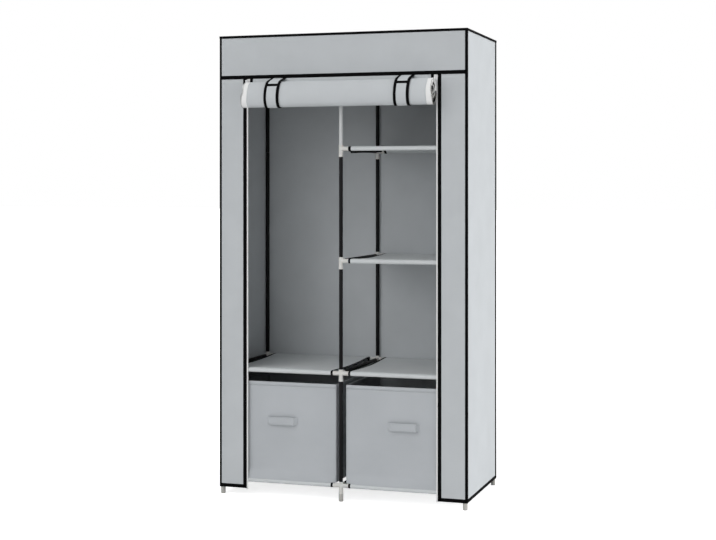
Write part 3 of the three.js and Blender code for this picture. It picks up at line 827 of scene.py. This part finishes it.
def front_strip(bay, sign):
    """A strip beside the door, with its bands, its stitching and its half of the zip."""
    node, tape_node = f"cover_strip_{bay}", f"zipper_tape_{bay}"
    bends = ("wardrobe", f"{bay}_strip", (0, 0, STRIP_FLAT_ABOVE), (0, 0, STRIP_SWINGS_BELOW))
    outer = SIDE - INSET - 0.001
    width, height = outer - STRIP_IN - 0.001, DOOR_TOP - HEM - 0.001
    corner = (sign * (STRIP_IN + 0.001), FRONT_SHEET, HEM + 0.001)
    ways = (sign * width, 0, 0), (0, 0, height), (0, -1, 0)
    cells, seed = (14, STRIP_ROWS), 21.0 + sign
    strip = panel(f"{bay}_strip_panel", corner, *ways, node, cells, seed, joins=bends)

    foot, hem_end = (sign * STRIP_IN, FRONT, HEM), sign * (SIDE - CORNER_FRONT)
    ways = (sign, 0, 0), (0, 1, 0)
    ends = foot, (sign * STRIP_IN, FRONT, DOOR_TOP)
    band = binding(f"{bay}_strip_binding", hem_fold, *ends, *ways, STRIP_ROWS, node, bends)
    ways = (0, 0, 1), (0, 1, 0)
    ends = foot, (hem_end, FRONT, HEM)
    hem = binding(f"{bay}_strip_hem_binding", hem_fold, *ends, *ways, 10, node, bends)
    seam = strip_stitching(sign, hem_end)
    stitching = piece(f"{bay}_strip_stitching", seam, "black thread", [node], joins=bends)

    tape_length = DOOR_TOP - HEM + ZIP_TAIL

    def tape_place(s, t):
        x = sign * (OPENING + 0.0002 + ZIP_TAPE_WIDTH * s)
        along = t * tape_length - ZIP_TAIL
        curl = max(-along, 0)
        return Vector((x, FRONT + 0.0022 - 14 * curl * curl, HEM + along - 0.15 * curl))

    tape = cloth(4, STRIP_ROWS + 6, tape_place, (ZIP_TAPE_WIDTH, tape_length))
    tape = piece(f"{bay}_zip_tape", tape, "zip tape", [tape_node], thick=TAPE, joins=bends)
    teeth = bmesh.new()
    x, y = sign * (OPENING + 0.0014), FRONT + 0.0013
    add_teeth(teeth, [(x, y, HEM + 0.002), (x, y, DOOR_TOP - SLIDER_COVERS)])
    teeth = piece(f"{bay}_zip_teeth", teeth, "zip teeth", [tape_node], joins=bends)


for bay, sign in SIDES.items():
    front_strip(bay, sign)


# Door: a sheet that hangs from the header and is rolled up from its foot

roll_low, roll_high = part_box("door_roll")
ROLL_ASIDE = 0.003
ROLL_IN_FRONT = 0.039
ROLL_BELOW_HEADER = 0.0575
ROLL_X = (roll_low.x + roll_high.x) / 2 + ROLL_ASIDE
ROLL_Y = FRONT - ROLL_IN_FRONT
ROLL_Z = HEADER_BOTTOM - ROLL_BELOW_HEADER
ROLL_OUTER = (0.0306, 0.0454)
ROLL_TURNS = 8.5
ROLL_PITCH = 0.0033
ROLL_STEPS = 36
ROLL_LEAN = 0.2
STRAP_X = 0.229
STRAP_SHIFT = 0.006
STRAP_WIDTH = 0.054
BAND_IN = 0.0205
SLIP_IN = 0.055
SLIP_LEAST = 0.0060
SLIP_MORE = 0.0180
SLIP_WAVE = 0.022
SLIP_WAVE_START = 0.018
STRAP_PINCH = 0.0011
ROLL_RIPPLE = 0.0007
ROLL_BULGE = 0.0006
ROLL_END_RUMPLE = 0.0009
DOOR_EDGE = (roll_high.x - roll_low.x) / 2


def tangent_angle(y, z, half_depth, half_height, way):
    """The angle at which a line from a point, given from the roll's centre, touches a leaning oval."""
    across, up = (y + ROLL_LEAN * z) / half_depth, z / half_height
    return atan2(up, across) + way * acos(1 / hypot(across, up))


def on_roll(angle, half_depth, half_height):
    """A point of an oval that leans back; angles run from the front over the top to the back."""
    up = half_height * sin(angle)
    return (ROLL_Y - half_depth * cos(angle) + ROLL_LEAN * up, ROLL_Z + up)


ROLL_START = tangent_angle(ROLL_Y - FRONT_SHEET, DOOR_TOP - ROLL_Z, *ROLL_OUTER, 1)
ROLL_TOUCH_Z = on_roll(ROLL_START, *ROLL_OUTER)[1]
DOOR_ROLLS_UP = ("wardrobe", "rolled_door", (0, 0, DOOR_TOP), (0, 0, ROLL_TOUCH_Z + 0.001))


def roll_route(inset=0.0):
    """The rolled sheet in YZ, from where it meets the hung part to the innermost turn."""
    points = []
    for i in range(round(ROLL_TURNS * ROLL_STEPS) + 1):
        turned = i / ROLL_STEPS
        shrink = turned * ROLL_PITCH + inset
        angle = ROLL_START + turned * 2 * pi
        points.append(on_roll(angle, ROLL_OUTER[0] - shrink, ROLL_OUTER[1] - shrink))
    return points


def rumple(x, y, z):
    """How far a point of the roll moves in or out: pinched under the straps, rippled beside them."""
    angle = atan2(z - ROLL_Z, y - ROLL_Y)
    beside = min(abs(abs(x + ROLL_X - STRAP_SHIFT) - STRAP_X) / 0.03, 4)
    pinch = -STRAP_PINCH * exp(-beside * beside)
    ripple = ROLL_RIPPLE * exp(-((beside - 1.4) ** 2)) * rough_noise(x * 60, angle * 0.8, 3)
    broad = ROLL_BULGE * rough_noise(x * 14, angle * 1.1, 7)
    end = ROLL_END_RUMPLE * exp(-(DOOR_EDGE - abs(x)) / 0.03) * rough_noise(x * 30, angle * 1.7, 1)
    return pinch + ripple + broad + end


def telescoped(y, z):
    """How far a turn has slipped in at the roll's end: in groups of turns, and not the outermost."""
    y, z = y - ROLL_Y - ROLL_LEAN * (z - ROLL_Z), z - ROLL_Z
    inner = 1 - hypot(y / ROLL_OUTER[0], z / ROLL_OUTER[1])
    slipped = 0.5 - 0.5 * cos((y + SLIP_WAVE_START) / SLIP_WAVE * 2 * pi + 0.9 * sin(z * 40))
    return clamped((inner - 0.04) / 0.10) * (SLIP_LEAST + SLIP_MORE * slipped)


def roll_sheet(x0, x1, columns, inset=0.0):
    route = roll_route(inset)

    def place(point, t):
        y, z = point
        x = x0 + (x1 - x0) * t
        reach = Vector((y - ROLL_Y, z - ROLL_Z))
        share = min(reach.length / 0.03, 1)
        moved = reach + reach.normalized() * rumple(x, y, z) * share
        near_end = clamped((abs(x) - DOOR_EDGE) / SLIP_IN + 1)
        x -= telescoped(y, z) * near_end**2 * (1 if x > 0 else -1)
        return Vector((ROLL_X + x, ROLL_Y + moved.x, ROLL_Z + moved.y))

    return swept(route, columns, abs(x1 - x0), place), length_of(route)


DOOR_FLAT_AT = FRONT - 0.0060
STRAP_FLAT_AT = FRONT_SHEET - 0.0025
flattens = {"joint": "door_lower", "axis": (0, 1, 0)}
door_flattens = {**flattens, "anchor": (0, DOOR_FLAT_AT, ROLL_Z), "keep": 0.03}
strap_flattens = {**flattens, "anchor": (0, STRAP_FLAT_AT, ROLL_Z), "keep": 0.05}


def rolled(name, bm, finish, thick=0.0):
    return piece(name, bm, finish, ["door_roll"], "rolled_door", thick=thick, flattens=door_flattens)


tape_at = DOOR_EDGE - BAND_IN
bm, rolled_length = roll_sheet(-tape_at, tape_at, 92)
roll = rolled("door_roll_fabric", bm, "door", 0.0011)
for bay, sign in SIDES.items():
    # The roll's binding beside the zip tape is the real black band; where it runs on under the tape to near
    # the edge it is a dark sheet painted in as shade between the turns at the roll's ends.
    for part, x0, x1, finish, inset, thick in (
        ("zip_tape", tape_at - 0.001, DOOR_EDGE - 0.0015, "zip tape", 0.0, 0.0013),
        ("binding", DOOR_EDGE - 0.0170, DOOR_EDGE - 0.0018, "binding", 0.0011, 0.0008),
    ):
        bm, _ = roll_sheet(sign * x0, sign * x1, 6, inset)
        rolled(f"door_roll_{part}_{bay}", bm, finish, thick)
    # the teeth at the roll's ends are painted dark grey, as shade between the turns
    teeth = bmesh.new()
    route = [(sign * (DOOR_EDGE - 0.0012), y, z) for y, z in roll_route()]
    add_teeth(teeth, route, size=(0.0030, 0.0018, 0.0016), pitch=0.0036)
    for vert in teeth.verts:
        covered = 0.0045 * clamped((vert.co.z - ROLL_Z + 0.004) / 0.012)
        vert.co.x += ROLL_X - sign * (telescoped(vert.co.y, vert.co.z) + covered)
    rolled(f"door_roll_zip_teeth_{bay}", teeth, "door zip teeth")

HANG_ROWS = 70
touch_y, touch_z = roll_route()[0]
hung_length = hypot(touch_y - FRONT_SHEET, touch_z - DOOR_TOP)


def hung(part, x0, x1, finish, forward=0.0):
    """A strip of the hung part of the door, from the header to where it meets the roll."""

    def place(s, t):
        y = FRONT_SHEET + (touch_y - FRONT_SHEET) * t - forward
        return Vector((x0 + (x1 - x0) * s + ROLL_X * t, y, DOOR_TOP + (touch_z - DOOR_TOP) * t))

    columns = max(round(abs(x1 - x0) / 0.014), 2)
    sheet = cloth(columns, HANG_ROWS, place, (abs(x1 - x0), hung_length))
    return piece(f"door_{part}", sheet, finish, ["door_curtain"], thick=CLOTH, joins=DOOR_ROLLS_UP)


curtain = hung("curtain_fabric", -OPENING + BAND_IN, OPENING - BAND_IN, "door")
for bay, sign in SIDES.items():
    for part, x0, x1, finish, forward in (
        ("binding", OPENING - 0.0178, OPENING - 0.0075, "binding", 0.0003),
        ("inner_edge", OPENING - 0.0210, OPENING - 0.0174, "door", 0.0),
        ("zip_tape", OPENING - 0.0080, OPENING - 0.0002, "zip tape", 0.0),
    ):
        hung(f"{part}_{bay}", sign * x0, sign * x1, finish, forward)

# Straps: under the header's front, over and under the roll, and up behind the hung door
STRAP_OVAL = (0.0321, 0.0469)
STRAP_EDGE = 0.0098
LAYER = 0.0015
CROSS_LINE_UP = 0.030
CROSS_LINE_HALF = 0.0045
CROSS_LINE_IN = 0.008
STRAP_CREASE = 0.0003


def strap_route(outset=0.0, steps=90):
    """A strap's route in YZ, from the header's front round the roll to the header's back."""
    oval = [half + outset for half in STRAP_OVAL]
    first = (FRONT_SHEET - LAYER - outset, DOOR_TOP)
    last = (FRONT_SHEET + LAYER + outset, DOOR_TOP)
    over = tangent_angle(ROLL_Y - first[0], first[1] - ROLL_Z, *oval, -1)
    behind = tangent_angle(ROLL_Y - last[0], last[1] - ROLL_Z, *oval, 1) - 2 * pi
    turns = [on_roll(over + (behind - over) * i / 48, *oval) for i in range(49)]
    return even([first, *turns, last], steps)


def strap_part(bay, part, x0, x1, finish, thick, route):
    """A part of a strap along a route, from x0 to x1, with its creases."""

    def place(point, t):
        x = x0 + (x1 - x0) * t
        crease = STRAP_CREASE * rough_noise(x * 90, point[0] * 40, point[1] * 40)
        reach = Vector((point[0] - ROLL_Y, point[1] - ROLL_Z)).normalized() * crease
        return Vector((x, point[0] + reach.x, point[1] + reach.y))

    bm = swept(route, max(round(abs(x1 - x0) / 0.004), 2), abs(x1 - x0), place)
    name, node = f"{bay}_strap_{part}", f"door_strap_{bay}"
    return piece(name, bm, finish, [node], thick=thick, flattens=strap_flattens)


def door_strap(bay, middle):
    """A strap with its two edge bands and the line of stitching across its front."""
    half = STRAP_WIDTH / 2
    route = strap_route()
    strap = strap_part(bay, "fabric", middle - half + 0.001, middle + half - 0.001, "door", 0.001, route)
    for edge, way in (("left", -1), ("right", 1)):
        x0 = middle + way * half
        x1 = x0 - way * STRAP_EDGE
        strap_part(bay, f"{edge}_edge", x0, x1, "binding", 0.0016, strap_route(0.0001))
    front = [p for p in strap_route(0.0003, 500) if p.x < ROLL_Y]
    cross = [p for p in front if abs(p.y - ROLL_Z - CROSS_LINE_UP) < CROSS_LINE_HALF]
    x0, x1 = middle - half + CROSS_LINE_IN, middle + half - CROSS_LINE_IN
    strap_part(bay, "cross_line", x0, x1, "binding", 0.0015, cross)
    flat = (STRAP_WIDTH - 0.002, length_of(route))


for bay, sign in SIDES.items():
    door_strap(bay, STRAP_SHIFT + sign * STRAP_X)


# Zip sliders

SLIDER_LENGTH = 0.020
SLIDER_IN = 0.0008
SLIDER_EDGE = 0.0004
SLIDER_NARROWS = 0.34
NECK_HALF = 0.0016
CROWN = 0.0008
PULL_HALF = 0.0022


def zip_slider(bay):
    node, body = f"zip_slider_{bay}", f"{bay}_zip"
    low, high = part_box(node)
    x = (low.x + high.x) / 2
    bottom = high.z - SLIDER_LENGTH
    bm = bmesh.new()
    for y0, y1 in ((low.y + 0.0004, low.y + 0.0015), (high.y - 0.0011, high.y)):
        plate = (low.x + SLIDER_IN, y0, bottom), (high.x - SLIDER_IN, y1, high.z)
        add_block(bm, *plate, SLIDER_EDGE)
    for vert in bm.verts:
        below = clamped((high.z - 0.006 - vert.co.z) / 0.014)
        taper = 1 - SLIDER_NARROWS * below
        vert.co.x = x + (vert.co.x - x) * taper
    neck_low = (x - NECK_HALF, low.y + 0.001, bottom + 0.011)
    neck_high = (x + NECK_HALF, high.y - 0.0005, high.z - 0.001)
    add_block(bm, neck_low, neck_high, SLIDER_EDGE)
    face = low.y + 0.0006
    bridge = [(0.003, 0), (0.004, 0.0009), (0.015, 0.0009), (0.016, 0)]
    crown = [(x, face - out, bottom + z) for z, out in bridge]
    for start, end in zip(crown, crown[1:]):
        add_rod(bm, start, end, CROWN, edge=0, segments=10)
    piece(f"{bay}_zip_slider_body", bm, "slider", [node], body, outward=True)
    pull = bmesh.new()
    top = bottom + 0.005
    pull_box = (x - PULL_HALF, low.y - 0.0008, low.z), (x + PULL_HALF, low.y + 0.0004, top)
    add_block(pull, *pull_box, SLIDER_EDGE)
    for vert in pull.verts:
        share = (top - vert.co.z) / (top - low.z)
        vert.co.x = x + (vert.co.x - x) * (0.75 + 0.35 * share)
    faces = [f for f in pull.faces if abs(f.normal.y) > 0.9 and f.calc_area() > 1e-5]
    bmesh.ops.inset_region(pull, faces=faces, thickness=0.0009, depth=-0.0003)
    piece(f"{bay}_zip_pull", pull, "slider", [node], body, outward=True)


for bay in SIDES:
    zip_slider(bay)


# Storage boxes: fabric over board, with a turned rim and a loop handle

BOX_WALL = 0.003
BOX_ROUND = 0.005
BOX_BASE = 0.0035
BOX_BOW = 0.0022
BOX_BAGS_OUT = 0.0068
BOX_BAGS_DOWN = 0.0042
BOX_FOOT = 0.035
RIM_FOLD = 0.014
CORNER_SEAM = 0.0011
CORNER_SEAM_IN = 0.0017


def ring(low, high, grow, per_side=16):
    """A rounded rectangle in plan, from the middle of its rear side and back to there."""
    x0, y0, x1, y1 = low.x + BOX_ROUND, low.y + BOX_ROUND, high.x - BOX_ROUND, high.y - BOX_ROUND
    radius = BOX_ROUND + grow
    middles = (x1, y1), (x1, y0), (x0, y0), (x0, y1)
    bends = [arc(middle, radius, 90 - 90 * i, -90 * i, 6) for i, middle in enumerate(middles)]
    start = ((x0 + x1) / 2, y1 + radius)
    points = [start]
    for bend in [*bends, [start]]:
        a, b = Vector(points[-1]), Vector(bend[0])
        points += [tuple(a.lerp(b, i / per_side)) for i in range(1, per_side)] + list(bend)
    return points


def storage_box(bay):
    node, body = f"storage_box_{bay}", f"{bay}_box"
    low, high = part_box(node)
    seed = SIDES[bay] * 4.0
    height = high.z - low.z
    mid_x, mid_y = (low.x + high.x) / 2, (low.y + high.y) / 2
    half_x, half_y = (high.x - low.x) / 2, (high.y - low.y) / 2

    def bowed(x, y, z):
        """Board walls bow outward a little between their edges, and the front bags out at its foot."""
        share = (z - low.z) / height
        u, v = (x - mid_x) / half_x, (y - mid_y) / half_y
        rise = 4 * share * (1 - share)
        face_x = max(abs(u) - 0.9, 0) * 10 * (1 - min(v * v, 1))
        face_y = max(abs(v) - 0.9, 0) * 10 * (1 - min(u * u, 1))
        wave = 0.5 + 0.5 * rough_noise(x * 6 + seed, y * 6, z * 6)
        out_x = BOX_BOW * rise * face_x * wave * (1 if u > 0 else -1)
        out_y = BOX_BOW * rise * face_y * wave * (1 if v > 0 else -1)
        foot = max(1 - (z - low.z) / BOX_FOOT, 0)
        bag = smooth(foot) * clamped((-v - 0.9) * 12) * (1 - abs(u) ** 8)
        return Vector((x + out_x, y + out_y - BOX_BAGS_OUT * bag, z - BOX_BAGS_DOWN * bag * foot))

    half_wall = BOX_WALL / 2
    outline = ring(low, high, -half_wall)
    rows = 30

    def wall_place(point, t):
        # rows lie closer together near the foot, where the front bags out
        return bowed(*point, low.z + 0.0005 + (height - 0.0015) * (round(t * rows) / rows) ** 1.5)

    walls = swept(outline, rows, height, wall_place)
    bmesh.ops.remove_doubles(walls, verts=walls.verts, dist=0.00001)
    piece(f"{bay}_box_walls", walls, "box", [node], body, thick=BOX_WALL)
    base = bmesh.new()
    base_box = low + Vector((0.001, 0.001, 0)), (high.x - 0.001, high.y - 0.001, low.z + BOX_BASE)
    add_block(base, *base_box, edge=0.0008)
    piece(f"{bay}_box_base", base, "box", [node], body, outward=True)

    near, far = 0.0002, -BOX_WALL - 0.0002
    fold = [(-RIM_FOLD, near), (-RIM_FOLD / 2, near), (-0.001, near), (-0.0002, -0.0006), (0, -half_wall)]
    fold += [(-0.0002, -BOX_WALL + 0.0006), (-0.001, far), (-RIM_FOLD, far)]
    last = len(outline) - 1

    def rim_place(point, t):
        rise, grow = point
        return bowed(*ring(low, high, grow)[round(t * last)], high.z - 0.0004 + rise)

    turned = swept(fold, last, length_of(outline), rim_place)
    bmesh.ops.remove_doubles(turned, verts=turned.verts, dist=0.00001)
    piece(f"{bay}_box_rim", turned, "box", [node], body, thick=0.0005)
    seam = bmesh.new()
    route = [(*p, high.z - RIM_FOLD + 0.0035) for p in ring(low, high, 0.0006)]
    around = even(route, int(length_of(route) / 0.005))
    for a, b in zip(around, around[1:]):
        add_stitches(seam, [a, b], pitch=1.0, facing=(b - a).cross(Vector((0, 0, 1))) * -1)
    for x in (low.x + CORNER_SEAM_IN, high.x - CORNER_SEAM_IN):
        for y in (low.y + CORNER_SEAM_IN, high.y - CORNER_SEAM_IN):
            start, end = (x, y, low.z + 0.001), (x, y, high.z - 0.002)
            add_rod(seam, start, end, CORNER_SEAM, edge=0.0003, segments=10)
    piece(f"{bay}_box_seams", seam, "box thread", [node], body)
    box_handle(bay, body)


HANDLE_STRAP = 0.0024
HANDLE_ASIDE = 0.003
HANDLE_LONGER = 0.005
HANDLE_FLAT_END = 0.004
HANDLE_RISE = 0.007


def box_handle(bay, body):
    node = f"box_handle_{bay}"
    low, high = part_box(node)
    x, half = (low.x + high.x) / 2 + HANDLE_ASIDE, (high.x - low.x) / 2 + HANDLE_LONGER
    face, stands_off = high.y, high.y - low.y - HANDLE_STRAP - 0.003

    def route_point(u):
        """The loop in plan: flat on the box at its ends, and standing off between them."""
        lift = smooth(clamped((half - HANDLE_FLAT_END - abs(u)) / HANDLE_RISE))
        crown = 0.0010 * (1 - (u / half) ** 2)
        return (x + u, face - HANDLE_STRAP / 2 - (stands_off + crown) * lift)

    route = even([route_point(-half + 2 * half * i / 80) for i in range(81)], 48)

    def place(point, t):
        z = low.z + 0.001 + (high.z - low.z - 0.002) * t
        cup = 0.0008 * (1 - (2 * t - 1) ** 2)
        dent = 0.0004 * rough_noise(point[0] * 60, z * 60, 4)
        return Vector((point[0], point[1] - cup - dent, z))

    loop = swept(route, 8, high.z - low.z, place)
    loop = piece(f"{bay}_handle_loop", loop, "box", [node], body, thick=HANDLE_STRAP)
    soften = loop.modifiers.new("soften", "SUBSURF")
    soften.levels = soften.render_levels = 1
    seam = bmesh.new()
    for t in (0.14, 0.86):
        line = [place(p, t) + Vector((0, -HANDLE_STRAP / 2 - 0.0001, 0)) for p in route[3:-3]]
        for a, b in zip(line[::2], line[2::2]):
            add_stitches(seam, [a, b], pitch=1.0, length=(b - a).length * 0.7)
    piece(f"{bay}_handle_stitching", seam, "box thread", [node], body)


for bay in SIDES:
    storage_box(bay)


# Floor, background and light

FLOOR_SIZE = 60.0
floor_mesh = bmesh.new()
bmesh.ops.create_grid(floor_mesh, x_segments=1, y_segments=1, size=FLOOR_SIZE)
mesh = bpy.data.meshes.new("floor")
floor_mesh.to_mesh(mesh)
floor_mesh.free()
floor = bpy.data.objects.new("floor", mesh)
scene.collection.objects.link(floor)

# White painted studio floor: plain and matt; the camera sees it a little lifted, so that it meets the
# white background and still keeps the soft shadow.
paint, shader = blank("studio_floor", Base_Color=srgb("#f4f4f4"), Roughness=0.9)
rays = add_node(paint, "LightPath", {})
glow = add_node(paint, "Emission", {"Color": srgb("#ffffff"), "Strength": 0.76})
none = add_node(paint, "Emission", {"Color": srgb("#000000"), "Strength": 0.0})
lift = add_node(paint, "MixShader", {0: rays.outputs["Is Camera Ray"], 1: none, 2: glow})
total = add_node(paint, "AddShader", {0: shader, 1: lift})
output = paint.node_tree.nodes["Material Output"]
paint.node_tree.links.new(total.outputs[0], output.inputs["Surface"])
mesh.materials.append(paint)

world = bpy.data.worlds.new("studio")
scene.world = world
world.use_nodes = True
WORLD_LIGHT = 0.265
sky = world.node_tree.nodes["Background"]
sky.inputs["Color"].default_value = srgb("#ffffff")
sky.inputs["Strength"].default_value = WORLD_LIGHT
backdrop = add_node(world, "Background", {"Color": srgb("#ffffff"), "Strength": 1.0})
rays = add_node(world, "LightPath", {}).outputs
seen = add_node(world, "Math", {0: rays["Is Camera Ray"], 1: rays["Is Glossy Ray"]}, operation="MAXIMUM")
seen = add_node(world, "Math", {0: seen, 1: rays["Is Transmission Ray"]}, operation="MAXIMUM")
both = add_node(world, "MixShader", {0: seen, 1: sky, 2: backdrop})
world.node_tree.links.new(both.outputs[0], world.node_tree.nodes["World Output"].inputs["Surface"])


def lamp(name, strength, spread, azimuth, elevation):
    """A soft sun from an azimuth, from the front towards the right, and an elevation, in degrees."""
    light = bpy.data.lights.new(name, "SUN")
    light.energy = strength
    light.angle = radians(spread)
    made = bpy.data.objects.new(name, light)
    scene.collection.objects.link(made)
    turn, rise = radians(azimuth), radians(elevation)
    toward = Vector((sin(turn) * cos(rise), -cos(turn) * cos(rise), sin(rise)))
    made.rotation_euler = toward.to_track_quat("Z", "Y").to_euler()


lamp("key", 1.50, 75, -18, 14)
lamp("top", 0.56, 50, -20, 65)
lamp("side", 2.46, 40, 98, 18)

scene.view_settings.view_transform = "Standard"
